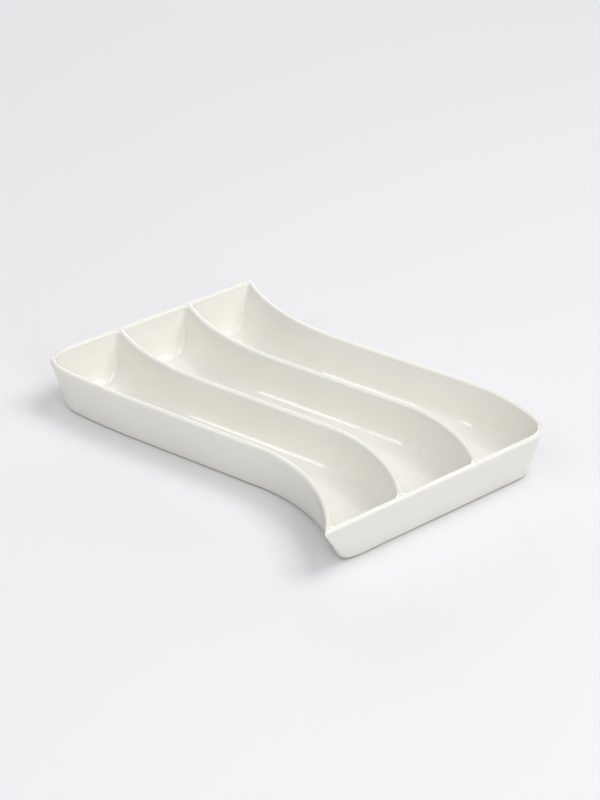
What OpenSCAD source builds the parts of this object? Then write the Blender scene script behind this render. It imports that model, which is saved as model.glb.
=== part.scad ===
// Relish tray: one glazed ceramic casting with three long compartments.
// Its sides and dividers all follow one S-shaped curve, and its two ends are straight.
// The tray lies along X with its foot on the plane z = 0, and the origin is under its middle.

/* [Overall] */
// Length between the flat outsides of the two ends, where their rims start to round
length = 300; // [280:2:320]
// Height from the table to the top of the rim
height = 37; // [34:0.5:42]

/* [Curve] */
// Bend radius towards the left end, for the dividers and the back side, as a share of the length
left_bend_share = 0.5733; // [0.53:0.005:0.63]
// Bend radius towards the right end, for the dividers and the front side, as a share of the length
right_bend_share = 0.385; // [0.37:0.005:0.42]
// Bend radius of the front side towards the left blunt corner, as a share of the length
outer_left_share = 1.67; // [1.5:0.01:1.9]
// Bend radius of the back side towards the right blunt corner, as a share of the length
outer_right_share = 0.465; // [0.44:0.005:0.5]
// Straight run between the two bends, as a share of the length
straight_run_share = 0.3567; // [0.33:0.005:0.39]
// Angle at which the straight run climbs across the tray
climb_angle = 14; // [11:0.5:17]

/* [Layout] */
// Distance from the middle of the tray to each divider
divider_distance = 29.4; // [27:0.2:31]
// Distance from the middle of the tray to the crest of the front side
front_distance = 82.7; // [81:0.2:88]
// Distance from the middle of the tray to the crest of the back side
back_distance = 84.4; // [82:0.2:90]
// Direction in which sides and dividers follow each other, from the long axis
repeat_angle = 80.8; // [78:0.2:84]
// Radius of the rim at the two blunt corners
corner_radius = 21; // [20:0.5:26]

/* [Section] */
// Thickness of rims and dividers at their rounded crest
crest = 4; // [3.4:0.1:4.8]
// Distance by which the outer faces lean in, from the rim down to the base
lean = 9; // [7:0.5:10.5]
// Thickness of the outer walls where they reach the floor
wall_base = 5; // [4:0.2:6]
// Thickness of a divider where it reaches the floor, without its hollows
divider_base = 15; // [12:0.5:17]
// Radius of the hollow that leads from each wall into the floor
hollow_radius = 15; // [12:0.5:16]
// Radius of the edge round the base
base_radius = 2; // [1.5:0.25:3]
// Thickness of the floor
floor_thickness = 4; // [3:0.25:5]

/* [Foot] */
// Height of the bare foot ring
foot_height = 0.8; // [0.6:0.1:1.6]
// Width of the foot ring
foot_width = 5; // [4:0.5:6]
// Distance from the rim in to the outside of the foot ring, seen from above
foot_inset = 13.5; // [13:0.5:14]

/* [Hidden] */

glaze_colour = "#efeee8";
foot_colour = "#d9d2c4";
// Facets in a quarter turn of the rounded edges of a section
edge_steps = 6;
// Length by which a cut or a swept wall runs past what it has to clear
overrun = 10;
// Extra turn of a cutting shape, so that it passes the end of the tray
past_turn = 20;
// Share of the crest thickness that rounds each of its two edges
crest_share = 0.46;
// Thickness at which the toe of a hollow ends on the floor
toe_step = 0.3;
// Hair's breadth by which cuts clear the wall that they make room for
hair = 0.03;
// Angle by which the cut at a blunt corner runs past its rounding
corner_past = 6;

half_length = length / 2;
left_bend = left_bend_share * length;
right_bend = right_bend_share * length;
outer_left_bend = outer_left_share * length;
outer_right_bend = outer_right_share * length;
straight_run = straight_run_share * length;
half_run = straight_run / 2;
base_level = foot_height;
floor_level = base_level + floor_thickness;
// Distance from the rim in to the seam between an outer wall and the floor slab
seam_inset = lean + base_radius + wall_base;
// How far the cutting shapes reach out from the rim, past all that they have to cut away
reach = 3 * hollow_radius;

// The four S-shaped walls: the step from the middle of the tray, then the radii of both bends
repeat_way = [cos(repeat_angle), sin(repeat_angle)];
front_side = [-front_distance * repeat_way, outer_left_bend, right_bend];
back_side = [back_distance * repeat_way, left_bend, outer_right_bend];
front_rib = [-divider_distance * repeat_way, left_bend, right_bend];
back_rib = [divider_distance * repeat_way, left_bend, right_bend];

// Centres of a wall's two bends, about the middle of the straight run
run_way = [cos(climb_angle), sin(climb_angle)];
run_normal = [-sin(climb_angle), cos(climb_angle)];
function left_raw(wall) = wall[0] - half_run * run_way + wall[1] * run_normal;
function right_raw(wall) = wall[0] + half_run * run_way - wall[2] * run_normal;

// The blunt corners: their centres lie one corner radius inside both rims
corner_inset = corner_radius - crest / 2;
right_corner_x = half_length - corner_radius;
right_corner_reach = outer_right_bend - corner_inset;
right_corner_turn = asin((right_corner_x - right_raw(back_side)[0]) / right_corner_reach);
left_corner_x = corner_radius - half_length;
left_corner_reach = outer_left_bend - corner_inset;
left_corner_turn = asin((left_raw(front_side)[0] - left_corner_x) / left_corner_reach);

// All walls are moved across so that the tray's front and back reach equally far
front_reach = left_corner_reach * cos(left_corner_turn) + corner_radius - left_raw(front_side)[1];
back_reach = right_raw(back_side)[1] + outer_right_bend + crest / 2;
curve_shift = [0, (front_reach - back_reach) / 2];
function left_centre(wall) = left_raw(wall) + curve_shift;
function right_centre(wall) = right_raw(wall) + curve_shift;
right_corner = right_centre(back_side)
             + right_corner_reach * [sin(right_corner_turn), cos(right_corner_turn)];
left_corner = left_centre(front_side)
            - left_corner_reach * [sin(left_corner_turn), cos(left_corner_turn)];

// Turns that take a wall past the end of the tray
far_x = half_length + overrun;
function left_turn(wall) = climb_angle + asin((far_x + left_centre(wall)[0]) / (wall[1] - crest));
function right_turn(wall) = climb_angle + asin((far_x - right_centre(wall)[0]) / (wall[2] - crest));

// Points of an arc of the given radius that rounds the corner b between a and c
function unit(v) = v / norm(v);
function rounded(a, b, c, radius) =
    let (to_a = unit(a - b), to_c = unit(c - b),
         half_angle = acos(to_a * to_c) / 2,
         middle = b + unit(to_a + to_c) * radius / sin(half_angle),
         start = b + to_a * radius / tan(half_angle) - middle,
         side = b + to_c * radius / tan(half_angle) - middle,
         turn = 180 - 2 * half_angle,
         across = (side - start * cos(turn)) / sin(turn))
    [for (i = [0 : edge_steps])
        middle + start * cos(turn * i / edge_steps) + across * sin(turn * i / edge_steps)];

// Outer wall in section: distance in from the rim, then height
rim_out = [0, height];
rim_in = [crest, height];
base_corner = [lean, base_level];
floor_share = floor_thickness / (height - base_level);
toe_level = floor_level + toe_step;
wall_corner = [lean * (1 - floor_share) + wall_base, toe_level];
underside = [seam_inset, base_level];
floor_seam = [seam_inset, floor_level];
toe_way = [hollow_radius, 0];
outer_face = concat(rounded(underside, base_corner, rim_out, base_radius),
                    rounded(base_corner, rim_out, rim_in, crest * crest_share));
inner_face = concat(rounded(rim_out, rim_in, wall_corner, crest * crest_share),
                    rounded(rim_in, wall_corner, wall_corner + toe_way, hollow_radius));
toe = [inner_face[len(inner_face) - 1][0], floor_level];
function reversed(points) = [for (i = [len(points) - 1 : -1 : 0]) points[i]];

module wall_section()
    polygon(concat([underside], outer_face, inner_face, [toe, floor_seam]));

// All that lies outside an outer wall
base_tangent = outer_face[0] + [hair, -overrun];
module outside_section()
    polygon(concat([[-reach, -overrun], base_tangent],
                   [for (point = outer_face) point + [hair, hair]],
                   [[crest / 2, height + overrun], [-reach, height + overrun]]));

// All that lies beyond the inner face of an end wall. It starts at the seam with the floor slab for
// a side, which has its own base, and at the toe of the hollow for a divider, which has none.
side_start = [underside + [hair, -overrun], floor_seam + [hair, -hair], toe + [hair, -hair]];
divider_start = [toe + [hair, -floor_level - overrun]];
module beyond_section(start)
    polygon(concat([[-reach, -overrun]], start,
                   [for (point = reversed(inner_face)) point + [hair, hair]],
                   [[crest / 2, height + overrun], [-reach, height + overrun]]));

// Divider in section, centred on its own line
divider_top = [crest / 2, height];
divider_foot = [divider_base / 2, toe_level];
divider_face = concat(rounded(divider_top - [crest, 0], divider_top, divider_foot, crest * crest_share),
                      rounded(divider_top, divider_foot, divider_foot + toe_way, hollow_radius));
divider_toe = [divider_face[len(divider_face) - 1][0], floor_level];
module divider_section()
    polygon(concat(divider_face, [divider_toe, [-divider_toe[0], floor_level]],
                   [for (point = reversed(divider_face)) [-point[0], point[1]]]));

// Sections of the front and back walls, set about the middle of their crest
module front_way() translate([-crest / 2, 0]) children();
module back_way() translate([crest / 2, 0]) mirror([1, 0]) children();

// Sweeps a section along the left bend, the straight run and the right bend
module left_sweep(wall, turn)
    translate(left_centre(wall))
        rotate(climb_angle - 90 - turn)
            rotate_extrude(angle = turn, $fn = 360)
                translate([wall[1], 0]) mirror([1, 0]) children();

module right_sweep(wall, turn)
    translate(right_centre(wall))
        rotate(climb_angle + 90 - turn)
            rotate_extrude(angle = turn, $fn = 360)
                translate([wall[2], 0]) children();

module run_sweep(wall)
    translate(wall[0] + curve_shift) rotate(climb_angle) translate([-half_run, 0, 0])
        rotate([90, 0, 90]) linear_extrude(straight_run) children();

// Sections set along the right end and along the left end, between two places across the tray
module right_end(start, stop)
    translate([half_length, stop, 0]) rotate([90, 0, 0])
        linear_extrude(stop - start) mirror([1, 0]) children();

module left_end(start, stop)
    translate([-half_length, stop, 0]) rotate([90, 0, 0]) linear_extrude(stop - start) children();

// Where the rims of the sides meet the ends at the two sharp corners, with a little to spare
rim_reach = crest / 2;
front_past = right_centre(front_side)[1] - rim_reach
           + sqrt(pow(right_bend - rim_reach, 2) - pow(half_length - right_centre(front_side)[0], 2));
back_past = left_centre(back_side)[1] + rim_reach
          - sqrt(pow(left_bend - rim_reach, 2) - pow(half_length + left_centre(back_side)[0], 2));

module left_cut(start)
    difference() {
        children();
        left_end(left_corner[1] - hair, back_past + reach) beyond_section(start);
    }

module right_cut(start)
    difference() {
        children();
        right_end(front_past - reach, right_corner[1] + hair) beyond_section(start);
    }

// Plan of everything on the front side of a wall's line, moved across by the given amount
module before_line(wall, across) {
    far = 3 * length;
    translate(wall[0] + curve_shift) rotate(climb_angle) {
        difference() {
            translate([-far, -far]) square([far - half_run, far + wall[1]]);
            translate([-half_run, wall[1]]) circle(r = wall[1] - across, $fn = 720);
        }
        translate([-half_run, -far]) square([straight_run, far + across]);
        intersection() {
            translate([half_run, -wall[2]]) circle(r = wall[2] + across, $fn = 360);
            translate([half_run, -wall[2]]) square([far, far]);
        }
        translate([half_run, -far - wall[2]]) square([wall[2], far]);
    }
}

// What the rounding of a blunt corner takes away from the plan
module blunt_corner(centre, turn_start, turn, inset) {
    whole_turn = turn + 2 * corner_past;
    translate(centre) rotate(turn_start - corner_past) difference() {
        polygon([[0, 0], [length, 0], length * [1, tan(whole_turn / 2)],
                 length * [cos(whole_turn), sin(whole_turn)]]);
        circle(r = corner_radius - inset, $fn = 96);
    }
}

// Plan of the tray, drawn in from the rim all round by one distance
module plan(inset) {
    across = crest / 2 - inset;
    difference() {
        intersection() {
            before_line(back_side, across);
            translate([inset - half_length, -length]) square([length - 2 * inset, 2 * length]);
        }
        before_line(front_side, -across);
        blunt_corner(right_corner, 0, 90 - right_corner_turn, inset);
        blunt_corner(left_corner, 180, 90 - left_corner_turn, inset);
    }
}

module foot_ring()
    color(foot_colour) linear_extrude(foot_height) difference() {
        plan(foot_inset);
        plan(foot_inset + foot_width);
    }

module floor_slab()
    color(glaze_colour) translate([0, 0, base_level])
        linear_extrude(floor_thickness) plan(seam_inset);

module right_end_wall()
    color(glaze_colour) difference() {
        right_end(front_past, right_corner[1]) wall_section();
        right_sweep(front_side, right_turn(front_side) + past_turn) front_way() outside_section();
    }

module left_end_wall()
    color(glaze_colour) difference() {
        left_end(left_corner[1], back_past) wall_section();
        left_sweep(back_side, left_turn(back_side) + past_turn) back_way() outside_section();
    }

module corner_post(centre, turn_start, turn)
    color(glaze_colour) translate(centre) rotate(turn_start) rotate_extrude(angle = turn, $fn = 96)
        intersection() {
            translate([corner_radius, 0]) mirror([1, 0]) wall_section();
            square([corner_radius, height]);
        }

module right_blunt_corner() corner_post(right_corner, 0, 90 - right_corner_turn);

module left_blunt_corner() corner_post(left_corner, 180, 90 - left_corner_turn);

module front_side_left_bend()
    color(glaze_colour) left_cut(side_start) left_sweep(front_side, climb_angle + left_corner_turn)
        front_way() wall_section();

module front_side_run() color(glaze_colour) run_sweep(front_side) front_way() wall_section();

module front_side_right_bend()
    color(glaze_colour) right_cut(side_start) right_sweep(front_side, right_turn(front_side))
        front_way() wall_section();

module back_side_left_bend()
    color(glaze_colour) left_cut(side_start) left_sweep(back_side, left_turn(back_side))
        back_way() wall_section();

module back_side_run() color(glaze_colour) run_sweep(back_side) back_way() wall_section();

module back_side_right_bend()
    color(glaze_colour) right_cut(side_start) right_sweep(back_side, climb_angle + right_corner_turn)
        back_way() wall_section();

module divider_left_bend(wall)
    color(glaze_colour) left_cut(divider_start) left_sweep(wall, left_turn(wall)) divider_section();

module divider_right_bend(wall)
    color(glaze_colour) right_cut(divider_start) right_sweep(wall, right_turn(wall)) divider_section();

module front_divider_left_bend() divider_left_bend(front_rib);
module front_divider_run() color(glaze_colour) run_sweep(front_rib) divider_section();
module front_divider_right_bend() divider_right_bend(front_rib);

module back_divider_left_bend() divider_left_bend(back_rib);
module back_divider_run() color(glaze_colour) run_sweep(back_rib) divider_section();
module back_divider_right_bend() divider_right_bend(back_rib);

foot_ring();
floor_slab();
left_end_wall();
left_blunt_corner();
right_end_wall();
right_blunt_corner();
front_side_left_bend();
front_side_run();
front_side_right_bend();
back_side_left_bend();
back_side_run();
back_side_right_bend();
front_divider_left_bend();
front_divider_run();
front_divider_right_bend();
back_divider_left_bend();
back_divider_run();
back_divider_right_bend();
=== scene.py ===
# %% [markdown]
# # A glazed relish tray in Blender
# The tray is one piece of glazed, slip-cast ceramic. Three long compartments lie side by side, and every
# wall follows the same S-shaped curve. This lesson draws the section of a wall once, carries it along the
# curve with Geometry Nodes, glazes it, and lights it as a small studio still life.
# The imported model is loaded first. It fixes the size and the place of everything that follows.

# %% Load the frame
import math

import bpy
from mathutils import Matrix, Vector


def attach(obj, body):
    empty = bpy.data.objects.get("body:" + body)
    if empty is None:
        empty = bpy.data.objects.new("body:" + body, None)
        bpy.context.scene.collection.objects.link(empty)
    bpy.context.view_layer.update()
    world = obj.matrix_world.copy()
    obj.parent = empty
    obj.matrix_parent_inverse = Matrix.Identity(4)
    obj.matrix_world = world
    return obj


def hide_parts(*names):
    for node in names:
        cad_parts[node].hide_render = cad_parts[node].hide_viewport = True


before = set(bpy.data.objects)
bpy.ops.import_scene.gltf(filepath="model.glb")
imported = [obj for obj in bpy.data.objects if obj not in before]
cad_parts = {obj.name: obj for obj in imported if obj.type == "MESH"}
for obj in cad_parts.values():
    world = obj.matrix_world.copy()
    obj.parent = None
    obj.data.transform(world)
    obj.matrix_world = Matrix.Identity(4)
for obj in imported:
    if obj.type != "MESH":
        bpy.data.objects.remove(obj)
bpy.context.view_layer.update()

# %% [markdown]
# ## Sizes
# A cast tray follows a few rules, so a few sizes draw it all. They are written in millimetres, because a
# potter would measure them so, and turned to metres where Blender needs them. The first sizes lay out the
# tray as it is seen from above: one curve of two bends and a straight run, set four times across the tray.

# %% Sizes of the tray, seen from above
MM = 0.001
LENGTH = 300.0                               # from one end's rim to the other's
LEFT_BEND, RIGHT_BEND = 171.99, 115.5        # radii of a divider's two bends
OUTER_LEFT, OUTER_RIGHT = 501.0, 139.5       # the front side's left bend, and the back side's right bend
RUN, CLIMB = 107.01, math.radians(14)        # the straight run between the bends, and the angle it climbs at
REPEAT = math.radians(80.8)                  # the direction in which the curve is set again
FRONT, BACK, DIVIDER = 82.7, 84.4, 29.4      # how far in that direction each wall is from the middle
CORNER, FILLET = 21.0, 5.0                   # roundness of the blunt corners, and inside the compartments
print("length in mm:", LENGTH, "from wall to wall:", DIVIDER * 2, FRONT - DIVIDER, BACK - DIVIDER)

# %% [markdown]
# The next sizes are those of a wall: how thick it is at the crest and at the floor, how far its outside
# leans, and the radii that the mould maker cut. At the two sharp corners the base turns far more gently than
# the rim does, because a pointed base would chip and wouldn't leave the mould.

# %% Sizes of the walls, the floor and the foot
HEIGHT, CREST, CREST_RADIUS = 37.0, 4.0, 1.85      # of the rims; their thickness, and the radius of their edges
LEAN, SIDE_LEAN, END_LEAN = 9.0, 8.4, 10.2         # of the outside from rim to base: in general, sides, ends
WALL_BASE, DIVIDER_BASE = 5.0, 15.0                # thickness at the level of the floor
HOLLOW, FLOOR = 15.0, 4.8                          # radius of the hollows, and height of the floor
BASE, BASE_RADIUS = 0.8, 2.0                       # height of the underside, and the radius that leads to it
FOOT_MIDDLE, FOOT_WIDTH = 5.6, 5.0                 # of the foot ring, from that radius inwards
RIM_EDGE, BASE_EDGE, EDGE_POWER = 1.6, 20.0, 1.3   # turns at a sharp corner, and how late they grow
BLUNT_LOSS = 6.0                                   # how much shorter a blunt corner's turn is at the base
TURN_STRETCH = 1.14                                # a parabola's turn, against an arc that looks as round
print("rims at", HEIGHT, "mm, floor at", FLOOR, "mm, clay under it", FLOOR - BASE, "mm thick")

# %% [markdown]
# ## One helper for nodes
# Node trees are written as text here, so one small function adds a node, sets it up and links its inputs,
# in their order or by their names. It hands back the output, or all the outputs when a node has several.

# %% Add a node
def add(tree, kind, *values, named=(), **settings):
    """The output of a new node, whose settings are made and whose inputs have values or links."""
    node = tree.nodes.new(kind)
    for name, value in settings.items():
        setattr(node, name, value)
    sockets = [socket for socket in node.inputs if socket.enabled]
    wanted = list(zip(sockets, values)) + [(node.inputs[name], value) for name, value in dict(named).items()]
    for socket, value in wanted:
        if isinstance(value, bpy.types.NodeSocket):
            tree.links.new(value, socket)
        elif value is not None:
            socket.default_value = value
    outputs = [socket for socket in node.outputs if socket.enabled]
    return outputs[0] if len(outputs) == 1 else outputs


# %% [markdown]
# ## The section of a wall
# In section a wall has a rounded crest, a face that tapers for the mould, and a hollow that leads into the
# floor. A face's place at any height follows from those three parts. A Bevel modifier could round the crest,
# but a formula also gives the hollow, and keeps the level lines of all the walls at the same heights.

# %% Draw the section
def taper(foot):
    """The slope of a face, from how far it would be from its crest's middle at the floor."""
    return math.atan((foot - CREST / 2) / (HEIGHT - FLOOR))


def face_at(height, foot):
    """How far a face is from the middle of its crest, at a height."""
    slope = taper(foot)
    spread = math.tan((math.pi / 2 - slope) / 2)
    if height > HEIGHT - CREST_RADIUS * (1 - math.sin(slope)):
        above = height - (HEIGHT - CREST_RADIUS)
        return CREST / 2 - CREST_RADIUS * spread + math.sqrt(max(CREST_RADIUS ** 2 - above ** 2, 0))
    if height < FLOOR + HOLLOW * (1 - math.sin(slope)):
        below = FLOOR + HOLLOW - height
        return foot + HOLLOW * spread - math.sqrt(max(HOLLOW ** 2 - below ** 2, 0))
    return CREST / 2 + (HEIGHT - height) * math.tan(slope)


wall_foot = LEAN * (1 - (FLOOR - BASE) / (HEIGHT - BASE)) + WALL_BASE - CREST / 2
rib_foot = DIVIDER_BASE / 2
print("slopes of walls and dividers:", round(math.degrees(taper(wall_foot))), round(math.degrees(taper(rib_foot))))

# %% [markdown]
# The same heights are used for the outer walls, the dividers and the ends, so that their level lines meet in
# the corners. They lie close together where the section is round, and far apart where it is straight.

# %% Choose the heights
CREST_STEPS, FACE_STEPS, HOLLOW_STEPS = 8, 6, 14
full_turn = math.pi / 2 - taper(rib_foot)


def arc_shares(steps):
    """How far below its top an arc is at each step, as a share of its radius."""
    return [1 - math.cos(full_turn * i / steps) for i in range(steps + 1)]


crest_heights = [HEIGHT - CREST_RADIUS * share for share in arc_shares(CREST_STEPS)]
hollow_heights = [FLOOR + HOLLOW * share for share in reversed(arc_shares(HOLLOW_STEPS))]
gap = crest_heights[-1] - hollow_heights[0]
face_heights = [crest_heights[-1] - gap * i / FACE_STEPS for i in range(1, FACE_STEPS)]
heights = crest_heights + face_heights + hollow_heights
print("levels from crest to floor:", len(heights))

# %% [markdown]
# The outside leans in towards the base. Its line starts on the crest, turns over the outer edge, goes down
# the face, rounds the base and ends under the tray, at the middle of the foot ring.

# %% Draw the outside
RIM_STEPS, OUTER_STEPS, BASE_STEPS = 9, 9, 7


def rounding(centre, radius, start, stop, steps):
    """Points of an arc, as distance inwards from the middle of the crest, and height."""
    angles = [start + (stop - start) * i / steps for i in range(steps + 1)]
    return [(centre[0] - radius * math.cos(a), centre[1] + radius * math.sin(a)) for a in angles]


overhang = math.atan(LEAN / (HEIGHT - BASE))
rim_in = CREST_RADIUS * math.tan((math.pi / 2 + overhang) / 2) - CREST / 2
rim_arc = rounding((rim_in, HEIGHT - CREST_RADIUS), CREST_RADIUS, math.pi / 2, -overhang, RIM_STEPS)


def outside(lean):
    """The line from the top of the rim round the outside to the underside."""
    base_in = lean - CREST / 2 + BASE_RADIUS * math.tan((math.pi / 2 - overhang) / 2)
    base_arc = rounding((base_in, BASE + BASE_RADIUS), BASE_RADIUS, -overhang, -math.pi / 2, BASE_STEPS)
    (top_in, top), (foot_in, foot) = rim_arc[-1], base_arc[0]
    face = [(top_in + (foot_in - top_in) * i / OUTER_STEPS, top + (foot - top) * i / OUTER_STEPS)
            for i in range(1, OUTER_STEPS)]
    return rim_arc + face + base_arc + [(base_in + FOOT_MIDDLE, BASE)]


side_outside, end_outside = outside(SIDE_LEAN), outside(END_LEAN)
print("points round the outside:", len(side_outside))

# %% [markdown]
# ## Rows and columns
# The whole tray is one net of rows, which run along it, and columns, which run across it. Each of these lines
# carries what the node tree has to know about it:
# - top is the outside's own height there, and rank counts the lines from the crest, below zero outside it;
# - reach is the distance from the crest's middle, and away is the way to the inside, 1 or -1;
# - shift is how far an outside line has leaned in, and keep is the share of it that a crossing line takes;
# - rib, sharp and blunt are the lengths over which a level line turns at a divider and at the two kinds of
#   corner, and side is -1 at the front, 1 at the back and 0 between.

# %% Describe a line
FLOOR_RANK = 99.0                            # of the columns between the ends, past any line of a wall
FIRST_TURNED, FULLY_TURNED = 1, 6            # the lines below a crest between which a fillet grows
toe = face_at(FLOOR, wall_foot)
wall_faces = [rim_in] + [face_at(height, wall_foot) for height in heights]
rib_faces = [0.0] + [face_at(height, rib_foot) for height in heights]
levels = [HEIGHT] + heights


def line(place, height, **more):
    """One row or column: its place, its height and all that it carries."""
    values = dict(top=HEIGHT, rank=FLOOR_RANK, reach=0.0, keep=0.0, shift=0.0, away=0.0, rib=0.0, sharp=0.0,
                  blunt=0.0, side=0.0)
    values.update(more)
    return (place, height, values)


def roundings(number):
    """Lengths over which a level line turns, at a divider and at the sharp and blunt corners."""
    grown = (number - FIRST_TURNED) / (FULLY_TURNED - FIRST_TURNED)
    inner = FILLET * min(1.0, max(0.0, grown))
    room = CORNER - CREST / 2 - wall_faces[number]
    return dict(rib=inner, sharp=max(inner, RIM_EDGE), blunt=max(room, 0.0))


print("from an outer crest's middle to the flat floor, in mm:", round(toe, 1))

# %% [markdown]
# A wall's lines are made once for its inside and once for its outside. Rows and columns use the same two
# functions, because the ends of the tray have the same section as its sides. In both, inwards is 1 or -1.
# Where a wall crosses the outside of another, its lines lean in with that outside. The crest keeps all of
# that lean, and a line further down its face keeps less, so that no two lines meet.

# %% Lines of a wall
def wall_lines(inwards, faces, keeps):
    """Rows or columns from a crest to the foot of its hollow. Only those of an outer wall keep a lean."""
    made = []
    for number, (away, height) in enumerate(zip(faces, levels)):
        keep = inwards * (1 - (wall_faces[number] - rim_in) / (toe - rim_in)) if keeps else 0.0
        made.append(line(inwards * away, height, rank=float(number), reach=wall_faces[number], keep=keep,
                         away=float(inwards), **roundings(number)))
    return made


def outside_lines(inwards, own, others):
    """Rows or columns from a crest round the outside to the underside, between walls of another lean."""
    made = []
    for number, ((away, height), (other, _)) in enumerate(zip(own[1:], others[1:]), start=1):
        depth = (HEIGHT - height) / (HEIGHT - BASE)
        sharp = RIM_EDGE + (BASE_EDGE - RIM_EDGE) * depth ** EDGE_POWER
        made.append(line(inwards * away, HEIGHT, top=height, rank=-float(number), reach=rim_in,
                         shift=other - rim_in, away=float(inwards), sharp=sharp,
                         blunt=CORNER - BLUNT_LOSS * depth))
    return made


print("lines inside and outside a wall:", len(levels), len(side_outside) - 1)

# %% [markdown]
# The rows belong to four walls: the front side, two dividers and the back side. The dividers have a hollow on
# both sides and no outside. Both halves of a divider start with the line on its crest, so one half leaves it
# out, and it has no inside of its own. The two sides each have one bend that is larger than a divider's,
# which gives the tray its fuller front left and back right.

# %% Set the rows about the four walls
def placed(lines, place, side, left_bend=LEFT_BEND, right_bend=RIGHT_BEND):
    """Sets a group of rows about its wall, with the wall's place across the tray and its two bends."""
    more = dict(side=float(side), left_bend=left_bend, right_bend=right_bend)
    return [(place, across, height, dict(values, **more)) for across, height, values in lines]


front = placed(outside_lines(1, side_outside, end_outside)[::-1] + wall_lines(1, wall_faces, True),
               -FRONT, -1, left_bend=OUTER_LEFT)
back = placed(wall_lines(-1, wall_faces, True)[::-1] + outside_lines(-1, side_outside, end_outside),
              BACK, 1, right_bend=OUTER_RIGHT)
rib = wall_lines(-1, rib_faces, False)[:0:-1] + wall_lines(1, rib_faces, False)
rib[len(rib) // 2][2].update(away=0.0)
rows = front + placed(rib, -DIVIDER, 0) + placed(rib, DIVIDER, 0) + back
print("rows:", len(rows))

# %% [markdown]
# The columns belong to the two ends, with plain columns between them. There are enough of those to make the
# bends look round.

# %% Set the columns between the two ends
MIDDLE_STEPS = 100
end = LENGTH / 2 - CREST / 2
left = outside_lines(1, end_outside, side_outside)[::-1] + wall_lines(1, wall_faces, True)
left = [(away - end, height, values) for away, height, values in left]
right = wall_lines(-1, wall_faces, True)[::-1] + outside_lines(-1, end_outside, side_outside)
right = [(away + end, height, values) for away, height, values in right]
first, last = left[-1][0], right[0][0]
places = [first + (last - first) * i / MIDDLE_STEPS for i in range(1, MIDDLE_STEPS)]
middle = [line(place, FLOOR, reach=end - abs(place)) for place in places]
columns = [(place, 0.0, height, values) for place, height, values in left + middle + right]
print("columns:", len(columns))

# %% [markdown]
# A small helper mesh holds one loose point for each row, and another one for each column. The point's place
# and its attributes carry the line's values into the node tree.

# %% Carry the lines into Blender
PLAIN_NUMBERS = ("rank", "keep", "away", "side")


def guide(name, lines):
    """A mesh of loose points that carries the lines and their attributes."""
    mesh = bpy.data.meshes.new(name)
    mesh.from_pydata([(a * MM, b * MM, h * MM) for a, b, h, _ in lines], [], [])
    for key in lines[0][3]:
        layer = mesh.attributes.new(key, "FLOAT", "POINT")
        unit = 1.0 if key in PLAIN_NUMBERS else MM
        for item, values in zip(layer.data, lines):
            item.value = values[3][key] * unit
    return bpy.data.objects.new(name, mesh)


row_guide = guide("row_guide", rows)
column_guide = guide("column_guide", columns)
print("values on each row and column:", len(rows[0][3]), len(columns[0][3]))

# %% [markdown]
# ## The rule of the curve
# The S is two arcs with a straight run between them. A wall that lies a distance to one side of the curve
# has arcs of a larger or smaller radius about the same centres. First the outer bends' centres are found,
# and from them how far the whole tray is moved so that it lies evenly about the origin.

# %% Find the middle of the tray
run_way = Vector((math.cos(CLIMB), math.sin(CLIMB), 0))
run_normal = Vector((-math.sin(CLIMB), math.cos(CLIMB), 0))
repeat_way = Vector((math.cos(REPEAT), math.sin(REPEAT), 0))
front_centre = -FRONT * repeat_way - RUN / 2 * run_way + OUTER_LEFT * run_normal
back_centre = BACK * repeat_way + RUN / 2 * run_way - OUTER_RIGHT * run_normal
left_arm, right_arm = OUTER_LEFT - CORNER + CREST / 2, OUTER_RIGHT - CORNER + CREST / 2
left_turn = math.asin((front_centre.x + LENGTH / 2 - CORNER) / left_arm)
right_turn = math.asin((LENGTH / 2 - CORNER - back_centre.x) / right_arm)
shift_y = (left_arm * math.cos(left_turn) + CORNER - front_centre.y
           - back_centre.y - OUTER_RIGHT - CREST / 2) / 2
print("moved along y by mm:", round(shift_y, 2))

# %% [markdown]
# The tree's sizes are inputs with names, so the same tree can make another tray. A blunt corner is wider or
# narrower than a square one, so each of the two has its own share of the turn.

# %% Start the tree
sizes = {
    "Half run": RUN / 2 * MM, "Climb": CLIMB, "Repeat": REPEAT, "Shift": shift_y * MM, "Base": BASE * MM,
    "Left corner": TURN_STRETCH * math.tan((math.pi / 2 - left_turn) / 2),
    "Right corner": TURN_STRETCH * math.tan((math.pi / 2 - right_turn) / 2),
}
tree = bpy.data.node_groups.new("swept_tray", "GeometryNodeTree")
tree.interface.new_socket("Geometry", in_out="INPUT", socket_type="NodeSocketGeometry")
tree.interface.new_socket("Geometry", in_out="OUTPUT", socket_type="NodeSocketGeometry")
for name in ("Rows", "Columns"):
    tree.interface.new_socket(name, in_out="INPUT", socket_type="NodeSocketObject")
for name, value in sizes.items():
    tree.interface.new_socket(name, in_out="INPUT", socket_type="NodeSocketFloat").default_value = value
tree.interface.new_socket("Glaze", in_out="INPUT", socket_type="NodeSocketMaterial")
given = {socket.name: socket for socket in add(tree, "NodeGroupInput") if socket.name}
print("inputs of the tree:", list(given))

# %% [markdown]
# A plain grid is the net. Its own size doesn't matter, because every point is placed anew. The grid numbers
# its points up one column after another, so a point finds its row and its column from its own number, and
# reads what the two lines carry. The last output of Object Info is the helper's mesh.

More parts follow.
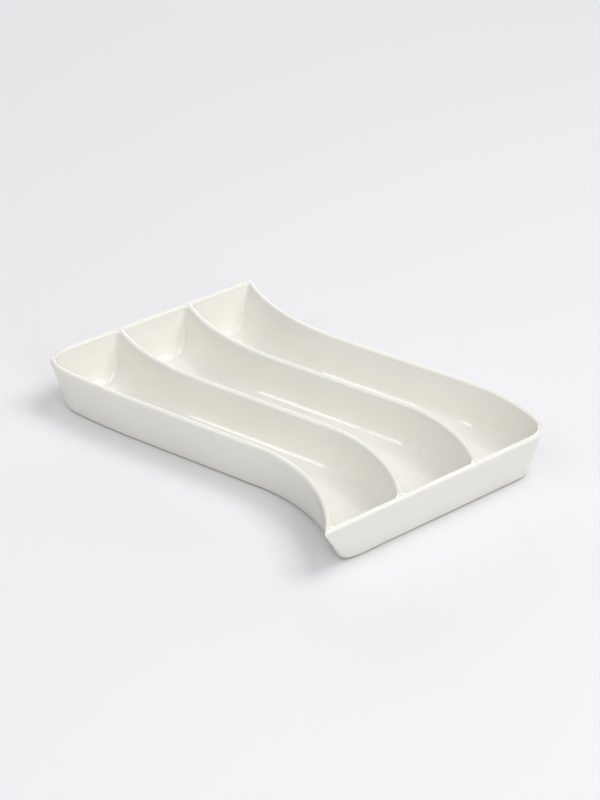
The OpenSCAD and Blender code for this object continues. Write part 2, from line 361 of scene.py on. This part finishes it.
# %% Lay out the net
net = add(tree, "GeometryNodeMeshGrid", 1.0, 1.0, len(columns), len(rows))[0]
index = add(tree, "GeometryNodeInputIndex")
row_count = float(len(rows))
column = add(tree, "ShaderNodeMath", index, row_count, operation="DIVIDE")
column = add(tree, "ShaderNodeMath", column, operation="FLOOR")
row = add(tree, "ShaderNodeMath", index, row_count, operation="MODULO")
read = {}
for kind, number, lines in (("Rows", row, rows), ("Columns", column, columns)):
    points = add(tree, "GeometryNodeObjectInfo", given[kind])[-1]
    position = add(tree, "GeometryNodeInputPosition")
    spot = add(tree, "GeometryNodeSampleIndex", points, position, number, data_type="FLOAT_VECTOR")
    read[kind, "place"], read[kind, "across"], read[kind, "height"] = add(tree, "ShaderNodeSeparateXYZ", spot)
    for key in lines[0][3]:
        value = add(tree, "GeometryNodeInputNamedAttribute", key, data_type="FLOAT")[0]
        read[kind, key] = add(tree, "GeometryNodeSampleIndex", points, value, number, data_type="FLOAT")
print("values read for each point:", len(read))

# %% [markdown]
# Along the tray, a point is where its column is. Across it, a point is beside its own wall, and each wall's
# curve is the same one moved along the direction of repeat. So the curve is worked out at a local x, from
# which the wall's own move has been taken away.

# %% Place a point beside its wall
across = add(tree, "ShaderNodeMath", read["Columns", "shift"], read["Rows", "keep"], read["Rows", "across"],
             operation="MULTIPLY_ADD")
along = add(tree, "ShaderNodeMath", read["Rows", "shift"], read["Columns", "keep"], read["Columns", "place"],
            operation="MULTIPLY_ADD")
repeat_x = add(tree, "ShaderNodeMath", given["Repeat"], operation="COSINE")
repeat_y = add(tree, "ShaderNodeMath", given["Repeat"], operation="SINE")
wall_x = add(tree, "ShaderNodeMath", read["Rows", "place"], repeat_x, operation="MULTIPLY")
local = add(tree, "ShaderNodeMath", along, wall_x, operation="SUBTRACT")
climb_cos = add(tree, "ShaderNodeMath", given["Climb"], operation="COSINE")
climb_sin = add(tree, "ShaderNodeMath", given["Climb"], operation="SINE")
climb_tan = add(tree, "ShaderNodeMath", given["Climb"], operation="TANGENT")
run_end = add(tree, "ShaderNodeMath", given["Half run"], climb_cos, operation="MULTIPLY")
run_rise = add(tree, "ShaderNodeMath", given["Half run"], climb_sin, operation="MULTIPLY")
print("nodes so far:", len(tree.nodes))

# %% [markdown]
# On a bend the curve is part of a circle, so its y comes from the circle's centre and from the root of what
# the radius leaves beside x. The two bends differ only in their signs.

# %% Follow the two bends
root, from_centre, bend_y = {}, {}, {}
for part, sign in (("left", -1.0), ("right", 1.0)):
    bend = read["Rows", part + "_bend"]
    radius = add(tree, "ShaderNodeMath", across, sign, bend, operation="MULTIPLY_ADD")
    centre_x = add(tree, "ShaderNodeMath", bend, climb_sin, run_end, operation="MULTIPLY_ADD")
    bend_rise = add(tree, "ShaderNodeMath", bend, climb_cos, operation="MULTIPLY")
    centre_y = add(tree, "ShaderNodeMath", run_rise, bend_rise, operation="SUBTRACT")
    from_centre[part] = add(tree, "ShaderNodeMath", centre_x, -sign, local, operation="MULTIPLY_ADD")
    radius_squared = add(tree, "ShaderNodeMath", radius, radius, operation="MULTIPLY")
    beside_squared = add(tree, "ShaderNodeMath", from_centre[part], from_centre[part], operation="MULTIPLY")
    under_root = add(tree, "ShaderNodeMath", radius_squared, beside_squared, operation="SUBTRACT")
    root[part] = add(tree, "ShaderNodeMath", under_root, operation="SQRT")
    circle_y = add(tree, "ShaderNodeMath", centre_y, root[part], operation="ADD")
    bend_y[part] = add(tree, "ShaderNodeMath", circle_y, sign, given["Shift"], operation="MULTIPLY_ADD")
print("nodes so far:", len(tree.nodes))

# %% [markdown]
# On the run the curve is a straight line. Two comparisons then pick the part of the curve that holds at the
# point's local x. Its limits lean with the run, so that the bends start square to it.

# %% Follow the run, and choose the part
raised = add(tree, "ShaderNodeMath", across, climb_cos, operation="DIVIDE")
raised = add(tree, "ShaderNodeMath", raised, given["Shift"], operation="ADD")
run_y = add(tree, "ShaderNodeMath", local, climb_tan, raised, operation="MULTIPLY_ADD")
leaning = add(tree, "ShaderNodeMath", across, climb_sin, operation="MULTIPLY")
right_stop = add(tree, "ShaderNodeMath", run_end, leaning, operation="SUBTRACT")
run_start = add(tree, "ShaderNodeMath", run_end, -1.0, operation="MULTIPLY")
left_stop = add(tree, "ShaderNodeMath", run_start, leaning, operation="SUBTRACT")
on_right = add(tree, "FunctionNodeCompare", local, right_stop, data_type="FLOAT", operation="GREATER_THAN")
on_left = add(tree, "FunctionNodeCompare", local, left_stop, data_type="FLOAT", operation="LESS_THAN")
curve_y = add(tree, "GeometryNodeSwitch", on_right, run_y, bend_y["right"], input_type="FLOAT")
curve_y = add(tree, "GeometryNodeSwitch", on_left, curve_y, bend_y["left"], input_type="FLOAT")
place_y = add(tree, "ShaderNodeMath", read["Rows", "place"], repeat_y, curve_y, operation="MULTIPLY_ADD")
print("nodes so far:", len(tree.nodes))

# %% [markdown]
# A point's height is that of whichever wall is higher there, and the outside's own height below the rim.
# That one rule also lets the dividers run into the ends.

# %% Find the height
inner = add(tree, "ShaderNodeMath", read["Rows", "height"], read["Columns", "height"], operation="MAXIMUM")
lower = add(tree, "ShaderNodeMath", read["Rows", "top"], read["Columns", "top"], operation="MINIMUM")
height = add(tree, "ShaderNodeMath", inner, lower, operation="MINIMUM")
print("nodes so far:", len(tree.nodes))

# %% [markdown]
# ## Round corners
# Wet clay and running glaze leave no sharp corner. Every level line is turned smoothly where a wall meets
# an end: points near the corner move along its bisector, by a parabola that starts and ends tangent to the
# two walls. The bisector comes from the wall's own direction there, and from the way to the inside.

# %% Find each corner's bisector
from_left = add(tree, "FunctionNodeCompare", along, 0.0, data_type="FLOAT", operation="LESS_THAN")
way = add(tree, "GeometryNodeSwitch", from_left, 1.0, -1.0, input_type="FLOAT")
left_slope = add(tree, "ShaderNodeMath", from_centre["left"], root["left"], operation="DIVIDE")
right_root = add(tree, "ShaderNodeMath", root["right"], -1.0, operation="MULTIPLY")
right_slope = add(tree, "ShaderNodeMath", from_centre["right"], right_root, operation="DIVIDE")
slope = add(tree, "GeometryNodeSwitch", from_left, right_slope, left_slope, input_type="FLOAT")
tangent = add(tree, "ShaderNodeCombineXYZ", 1.0, slope, 0.0)
tangent = add(tree, "ShaderNodeVectorMath", tangent, operation="NORMALIZE")
inwards = add(tree, "ShaderNodeMath", way, -1.0, operation="MULTIPLY")
along_wall = add(tree, "ShaderNodeVectorMath", tangent, inwards, operation="SCALE")
along_end = add(tree, "ShaderNodeCombineXYZ", 0.0, read["Rows", "away"], 0.0)
bisector = add(tree, "ShaderNodeVectorMath", along_wall, along_end, operation="ADD")
print("nodes so far:", len(tree.nodes))

# %% [markdown]
# How long the turn is depends on the corner: short at the rim's sharp corners, long at the blunt ones and
# towards the base, and about 5 mm inside the compartments. The line that is nearer to its crest says so.
# Side times way is 1 at the blunt corners, -1 at the sharp ones and 0 at the dividers, and the two limits lie
# half-way between those.

# %% Choose the length of each turn
by_row = add(tree, "FunctionNodeCompare", read["Rows", "rank"], read["Columns", "rank"], data_type="FLOAT",
             operation="LESS_THAN")
turn_of = {key: add(tree, "GeometryNodeSwitch", by_row, read["Columns", key], read["Rows", key],
                    input_type="FLOAT") for key in ("rib", "sharp", "blunt")}
share = add(tree, "GeometryNodeSwitch", from_left, given["Right corner"], given["Left corner"],
            input_type="FLOAT")
blunt = add(tree, "ShaderNodeMath", turn_of["blunt"], share, operation="MULTIPLY")
facing = add(tree, "ShaderNodeMath", read["Rows", "side"], way, operation="MULTIPLY")
is_blunt = add(tree, "FunctionNodeCompare", facing, 0.5, data_type="FLOAT", operation="GREATER_THAN")
is_sharp = add(tree, "FunctionNodeCompare", facing, -0.5, data_type="FLOAT", operation="LESS_THAN")
corner = add(tree, "GeometryNodeSwitch", is_sharp, turn_of["rib"], turn_of["sharp"], input_type="FLOAT")
corner = add(tree, "GeometryNodeSwitch", is_blunt, corner, blunt, input_type="FLOAT")
corner = add(tree, "ShaderNodeMath", corner, turn_of["rib"], operation="MAXIMUM")
print("nodes so far:", len(tree.nodes))

# %% [markdown]
# A point's true distance from its corner is the difference of the two reaches, less what the leaning outside
# has drawn in, measured along the slanting wall. What the turn's length leaves over that distance gives the
# move: its square, over four times the length, is the parabola.

# %% Move the points near a corner
apart = add(tree, "ShaderNodeMath", read["Rows", "reach"], read["Columns", "reach"], operation="SUBTRACT")
apart = add(tree, "ShaderNodeMath", apart, operation="ABSOLUTE")
for kind, other in (("Rows", "Columns"), ("Columns", "Rows")):
    kept = add(tree, "ShaderNodeMath", read[other, "keep"], operation="ABSOLUTE")
    unkept = add(tree, "ShaderNodeMath", 1.0, kept, operation="SUBTRACT")
    drawn_in = add(tree, "ShaderNodeMath", read[kind, "shift"], unkept, operation="MULTIPLY")
    apart = add(tree, "ShaderNodeMath", apart, drawn_in, operation="SUBTRACT")
slant = add(tree, "ShaderNodeSeparateXYZ", tangent)[0]
apart = add(tree, "ShaderNodeMath", apart, slant, operation="DIVIDE")
left_over = add(tree, "ShaderNodeMath", corner, apart, operation="SUBTRACT")
left_over = add(tree, "ShaderNodeMath", left_over, 0.0, operation="MAXIMUM")
squared = add(tree, "ShaderNodeMath", left_over, left_over, operation="MULTIPLY")
four_turns = add(tree, "ShaderNodeMath", corner, 4.0, operation="MULTIPLY")
move = add(tree, "ShaderNodeMath", squared, four_turns, operation="DIVIDE")
pull = add(tree, "ShaderNodeVectorMath", bisector, move, operation="SCALE")
spot = add(tree, "ShaderNodeCombineXYZ", along, place_y, height)
spot = add(tree, "ShaderNodeVectorMath", spot, pull, operation="ADD")
print("nodes so far:", len(tree.nodes))

# %% [markdown]
# The net's four outer corner patches would lie on top of each other under the rim, so they are deleted, and
# the open edge is joined up. A rank below zero is outside, and an edge with one face is open. The limits lie
# half-way between two whole numbers here too.

# %% Shape the net and join its corners
WELD = 0.02 * MM
shell = add(tree, "GeometryNodeSetPosition", net, None, spot)
is_outside = [add(tree, "FunctionNodeCompare", read[kind, "rank"], -0.5, data_type="FLOAT",
                  operation="LESS_THAN") for kind in ("Rows", "Columns")]
corner_patch = add(tree, "FunctionNodeBooleanMath", *is_outside, operation="AND")
shell = add(tree, "GeometryNodeDeleteGeometry", shell, corner_patch, domain="POINT")
shell = add(tree, "GeometryNodeMergeByDistance", shell, True, WELD)
neighbours = add(tree, "GeometryNodeInputMeshEdgeNeighbors")
is_open = add(tree, "FunctionNodeCompare", neighbours, 1.5, data_type="FLOAT", operation="LESS_THAN")
print("nodes so far:", len(tree.nodes))

# %% [markdown]
# What is left open underneath is filled with one flat face at the height of the base. Join Geometry has a
# single input that takes many links, so the second one is made by hand. The tree ends in Realize Instances
# and Set Material.

# %% Close the body
edge = add(tree, "GeometryNodeMeshToCurve", shell, is_open)
lid = add(tree, "GeometryNodeFillCurve", edge, mode="NGONS")
lift = add(tree, "ShaderNodeCombineXYZ", 0.0, 0.0, given["Base"])
lid = add(tree, "GeometryNodeSetPosition", lid, None, None, lift)
lid = add(tree, "GeometryNodeFlipFaces", lid)
body = add(tree, "GeometryNodeJoinGeometry", lid)
tree.links.new(shell, body.node.inputs[0])
body = add(tree, "GeometryNodeMergeByDistance", body, True, WELD)
body = add(tree, "GeometryNodeSetShadeSmooth", body)
body = add(tree, "GeometryNodeRealizeInstances", body)
body = add(tree, "GeometryNodeSetMaterial", body, None, given["Glaze"])
add(tree, "NodeGroupOutput", body)
print("nodes in the tree:", len(tree.nodes))

# %% [markdown]
# ## Colours
# Colours are chosen as the eye sees them, in sRGB, and turned into the linear values that light needs.

# %% Colour helper
def linear(code):
    """The linear colour of an sRGB hex value."""
    parts = [int(code[i:i + 2], 16) / 255 for i in (1, 3, 5)]
    return tuple(p / 12.92 if p <= 0.04045 else ((p + 0.055) / 1.055) ** 2.4 for p in parts) + (1.0,)


print("half of full sRGB is in linear light:", round(linear("#808080")[0], 3))

# %% [markdown]
# ## The glaze
# An off-white glossy glaze over a pale body, which was fluid in the kiln. That gives the eye three things.
# Its tone shifts slightly from patch to patch, and its gloss with it. Its surface swells gently over a few
# centimetres, so that a lamp's mirror image wavers. And it has a fine orange peel, which softens that image's
# edge. The scales of the noise are those real sizes. The index of refraction is that of a glass.
# A noise takes its place, scale, detail and roughness in that order, and most of its values lie between 0.3
# and 0.7. The place is the fourth output of Texture Coordinate, Object, so the pattern stays with the piece.

# %% White glaze over pale clay
PATCH, RIPPLE, PEEL = 45 * MM, 30 * MM, 2.2 * MM
RIPPLE_DEPTH, PEEL_DEPTH = 0.8 * MM, 0.1 * MM
GLOSSIEST, DULLEST = 0.07, 0.11
glaze = bpy.data.materials.new("gloss_white_glaze_on_clay")
glaze.use_nodes = True
nodes = glaze.node_tree
nodes.nodes.clear()
place = add(nodes, "ShaderNodeTexCoord")[3]
cloud = add(nodes, "ShaderNodeTexNoise", place, 1 / PATCH, 2.0, 0.5)[0]
peel = add(nodes, "ShaderNodeTexNoise", place, 1 / PEEL, 2.0, 0.5)[0]
swell = add(nodes, "ShaderNodeTexNoise", place, 1 / RIPPLE, 1.0, 0.4)[0]
tone = add(nodes, "ShaderNodeMix", cloud, linear("#e9e8e0"), linear("#efeee7"), data_type="RGBA")
rough = add(nodes, "ShaderNodeMapRange", cloud, 0.3, 0.7, GLOSSIEST, DULLEST)
bump = add(nodes, "ShaderNodeBump", named={"Strength": 0.35, "Distance": RIPPLE_DEPTH, "Height": swell})
bump = add(nodes, "ShaderNodeBump",
           named={"Strength": 0.05, "Distance": PEEL_DEPTH, "Height": peel, "Normal": bump})
shader = add(nodes, "ShaderNodeBsdfPrincipled",
             named={"Base Color": tone, "Roughness": rough, "Normal": bump, "IOR": 1.52})
add(nodes, "ShaderNodeOutputMaterial", shader)
print("nodes of the glaze:", len(nodes.nodes))

# %% [markdown]
# ## The bare foot
# Under the tray the potter wipes the glaze from a narrow ring, so that it doesn't stick in the kiln. What
# shows there is the clay itself: matt, a little darker and warmer, with fine grit. Real grit is finer than
# 0.6 mm, but would be too fine to show, so it is drawn at that size.

# %% Bare fired clay
GRIT = 0.6 * MM
clay = bpy.data.materials.new("bare_fired_clay")
clay.use_nodes = True
nodes = clay.node_tree
nodes.nodes.clear()
place = add(nodes, "ShaderNodeTexCoord")[3]
grit = add(nodes, "ShaderNodeTexNoise", place, 1 / GRIT, 3.0, 0.6)[0]
tone = add(nodes, "ShaderNodeMix", grit, linear("#cfc7b6"), linear("#dfd8c9"), data_type="RGBA")
shader = add(nodes, "ShaderNodeBsdfPrincipled", named={"Base Color": tone, "Roughness": 0.85, "IOR": 1.5})
add(nodes, "ShaderNodeOutputMaterial", shader)
print("nodes of the clay:", len(nodes.nodes))

# %% [markdown]
# ## Make the body
# The tree runs once on an empty mesh.

# %% Run the tree
holder = bpy.data.objects.new("tray_holder", bpy.data.meshes.new("tray_holder"))
helpers = (holder, row_guide, column_guide)
for thing in helpers:
    bpy.context.scene.collection.objects.link(thing)
modifier = holder.modifiers.new("swept tray", "NODES")
modifier.node_group = tree
settings = dict(sizes, Rows=row_guide, Columns=column_guide, Glaze=glaze)
for socket in tree.interface.items_tree:
    if socket.in_out == "INPUT" and socket.name in settings:
        modifier[socket.identifier] = settings[socket.name]
bpy.context.view_layer.update()
ready = holder.evaluated_get(bpy.context.evaluated_depsgraph_get())
tray_mesh = bpy.data.meshes.new_from_object(ready)
tray_mesh.materials.clear()
tray_mesh.materials.append(glaze)
tray = bpy.data.objects.new("glazed_body", tray_mesh)
bpy.context.scene.collection.objects.link(tray)
for thing in helpers:
    bpy.data.objects.remove(thing)
print("faces:", len(tray_mesh.polygons), "points:", len(tray_mesh.vertices))

# %% [markdown]
# ## The foot ring
# The foot is a low band that follows the base at an even distance. Its middle line is the edge of the flat
# face under the body, so the band turns the corners just as the base above it does.

# %% Find the foot ring's middle line
underside = max(tray_mesh.polygons, key=lambda face: face.area)
middle_line = [tray_mesh.vertices[number].co for number in underside.vertices]
print("points along the foot ring:", len(middle_line))

# %% [markdown]
# The band's section is a plain rectangle, half of it to each side of the middle line. So each point of the
# line gives four corners, and a short loop makes them and the four faces that lead on to the next ones.
# A curve with a profile could make the band too, but that would need a second node tree.

# %% Make the foot ring
band_points, band_faces = [], []
count = 4 * len(middle_line)
for number, spot in enumerate(middle_line):
    after, before = middle_line[(number + 1) % len(middle_line)], middle_line[number - 1]
    way = (after - spot).normalized() + (spot - before).normalized()
    side = Vector((-way.y, way.x, 0)).normalized() * FOOT_WIDTH / 2 * MM
    for offset, height in ((-side, 0.0), (side, 0.0), (side, BASE * MM), (-side, BASE * MM)):
        band_points.append((spot.x + offset.x, spot.y + offset.y, height))
    for corner in range(4):
        this, following = 4 * number + corner, 4 * number + (corner + 1) % 4
        band_faces.append((this, following, (following + 4) % count, (this + 4) % count))
band_mesh = bpy.data.meshes.new("bare_foot_ring")
band_mesh.from_pydata(band_points, [], band_faces)
band_mesh.materials.append(clay)
band = bpy.data.objects.new("bare_foot_ring", band_mesh)
bpy.context.scene.collection.objects.link(band)
print("corners and faces of the foot ring:", len(band_points), len(band_faces))

# %% [markdown]
# ## Bind the pieces
# The glazed body stands for all the ceramic solids of the frame but one. The clay band stands for the foot
# ring.

# %% Bind
ceramic = [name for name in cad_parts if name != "foot_ring"]
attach(tray, "root")
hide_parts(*ceramic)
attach(band, "root")
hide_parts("foot_ring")
print("solids that the body stands for:", len(ceramic))

# %% [markdown]
# ## The table
# The tray stands on a seamless sheet of pale matt paper. It is wide enough that its edge is never seen, and
# light enough to be the background too.

# %% Table
TABLE_REACH = 4.0
table_corners = [(x * TABLE_REACH, y * TABLE_REACH, 0.0) for x, y in ((-1, -1), (1, -1), (1, 1), (-1, 1))]
table_mesh = bpy.data.meshes.new("table")
table_mesh.from_pydata(table_corners, [], [(0, 1, 2, 3)])
table = bpy.data.objects.new("table", table_mesh)
bpy.context.scene.collection.objects.link(table)
paper = bpy.data.materials.new("matt_white_paper")
paper.use_nodes = True
sheet = paper.node_tree.nodes["Principled BSDF"].inputs
sheet["Base Color"].default_value = linear("#e8e8ea")
sheet["Roughness"].default_value = 0.9
sheet["Specular IOR Level"].default_value = 0.2
table.data.materials.append(paper)
print("table's width in m:", 2 * TABLE_REACH)

# %% [markdown]
# ## Light
# Five plain lamps stand around the tray, and are named for where they stand beside it. The key hangs high
# behind the right end, so that the shadow falls to the front left and the long front wall is in soft shade.
# A panel off the right end, beside the camera, lights that end and the inner corners, and a wide fill comes
# from the front. A low lamp behind on the left draws the bright lines on the rims. A narrow strip at the
# front left is turned square to the straight run of the walls, and mirrors in the crests and the hollows as
# long thin streaks. Azimuths start at the right end and go round towards the back.

# %% Lamps
LAMP_DISTANCE = 2.6


def softbox(name, azimuth, elevation, width, height, power, turn=0.0):
    """A rectangular lamp that faces the tray. Its angles are in degrees, and it is turned in its own plane."""
    a, e = math.radians(azimuth), math.radians(elevation)
    spot = Vector((math.cos(a) * math.cos(e), math.sin(a) * math.cos(e), math.sin(e)))
    lamp = bpy.data.lights.new(name, "AREA")
    lamp.shape, lamp.size, lamp.size_y, lamp.energy = "RECTANGLE", width, height, power
    box = bpy.data.objects.new(name, lamp)
    facing = (-spot).to_track_quat("-Z", "Y").to_matrix() @ Matrix.Rotation(math.radians(turn), 3, "Z")
    box.matrix_world = Matrix.Translation(spot * LAMP_DISTANCE) @ facing.to_4x4()
    bpy.context.scene.collection.objects.link(box)
    print(name, "in W:", power)


softbox("key_behind_right", azimuth=47, elevation=62, width=1.6, height=1.6, power=35)
softbox("panel_right", azimuth=-16, elevation=30, width=0.8, height=2.0, power=15)
softbox("fill_front", azimuth=-82, elevation=58, width=2.6, height=2.0, power=16)
softbox("low_behind_left", azimuth=150, elevation=14, width=2.0, height=0.8, power=15)
softbox("strip_front_left", azimuth=-114, elevation=33, width=0.3, height=0.6, power=2.8, turn=23.5)

# %% [markdown]
# The room itself gives a weak, even light from all around, which keeps the shadows open.

# %% World
world = bpy.data.worlds.new("studio")
world.use_nodes = True
room = world.node_tree.nodes["Background"].inputs
room["Color"].default_value = linear("#fcfcfe")
room["Strength"].default_value = 0.35
bpy.context.scene.world = world
print("strength of the room's light:", round(room["Strength"].default_value, 2))

# %% [markdown]
# ## Camera
# The photograph looks down at about thirty degrees, from in front of the right end, with a long lens. The
# camera's axes are written out from its azimuth, which starts at the front, and its elevation. The focal
# length and the small shift of the picture are measured in pixels of the photograph.

# %% Camera
AZIMUTH, ELEVATION, DISTANCE = math.radians(50.13), math.radians(30.436), 1.5
PICTURE_PIXELS, FOCAL_PIXELS = 800, 2191.127
RIGHT_PIXELS, UP_PIXELS = 4.091, 35.732
SENSOR = 36.0
towards = Vector((math.sin(AZIMUTH) * math.cos(ELEVATION), -math.cos(AZIMUTH) * math.cos(ELEVATION),
                  math.sin(ELEVATION)))
to_the_right = Vector((math.cos(AZIMUTH), math.sin(AZIMUTH), 0))
upwards = towards.cross(to_the_right)
lens = bpy.data.cameras.new("camera")
lens.lens, lens.sensor_width = FOCAL_PIXELS / PICTURE_PIXELS * SENSOR, SENSOR
lens.shift_x, lens.shift_y = RIGHT_PIXELS / PICTURE_PIXELS, UP_PIXELS / PICTURE_PIXELS
camera = bpy.data.objects.new("camera", lens)
turned = Matrix((to_the_right, upwards, towards)).transposed().to_4x4()
camera.matrix_world = Matrix.Translation(towards * DISTANCE + Vector((0, shift_y * MM, 0))) @ turned
bpy.context.scene.collection.objects.link(camera)
bpy.context.scene.camera = camera
bpy.context.scene.view_settings.view_transform = "Standard"
print("focal length in mm:", round(lens.lens, 2))
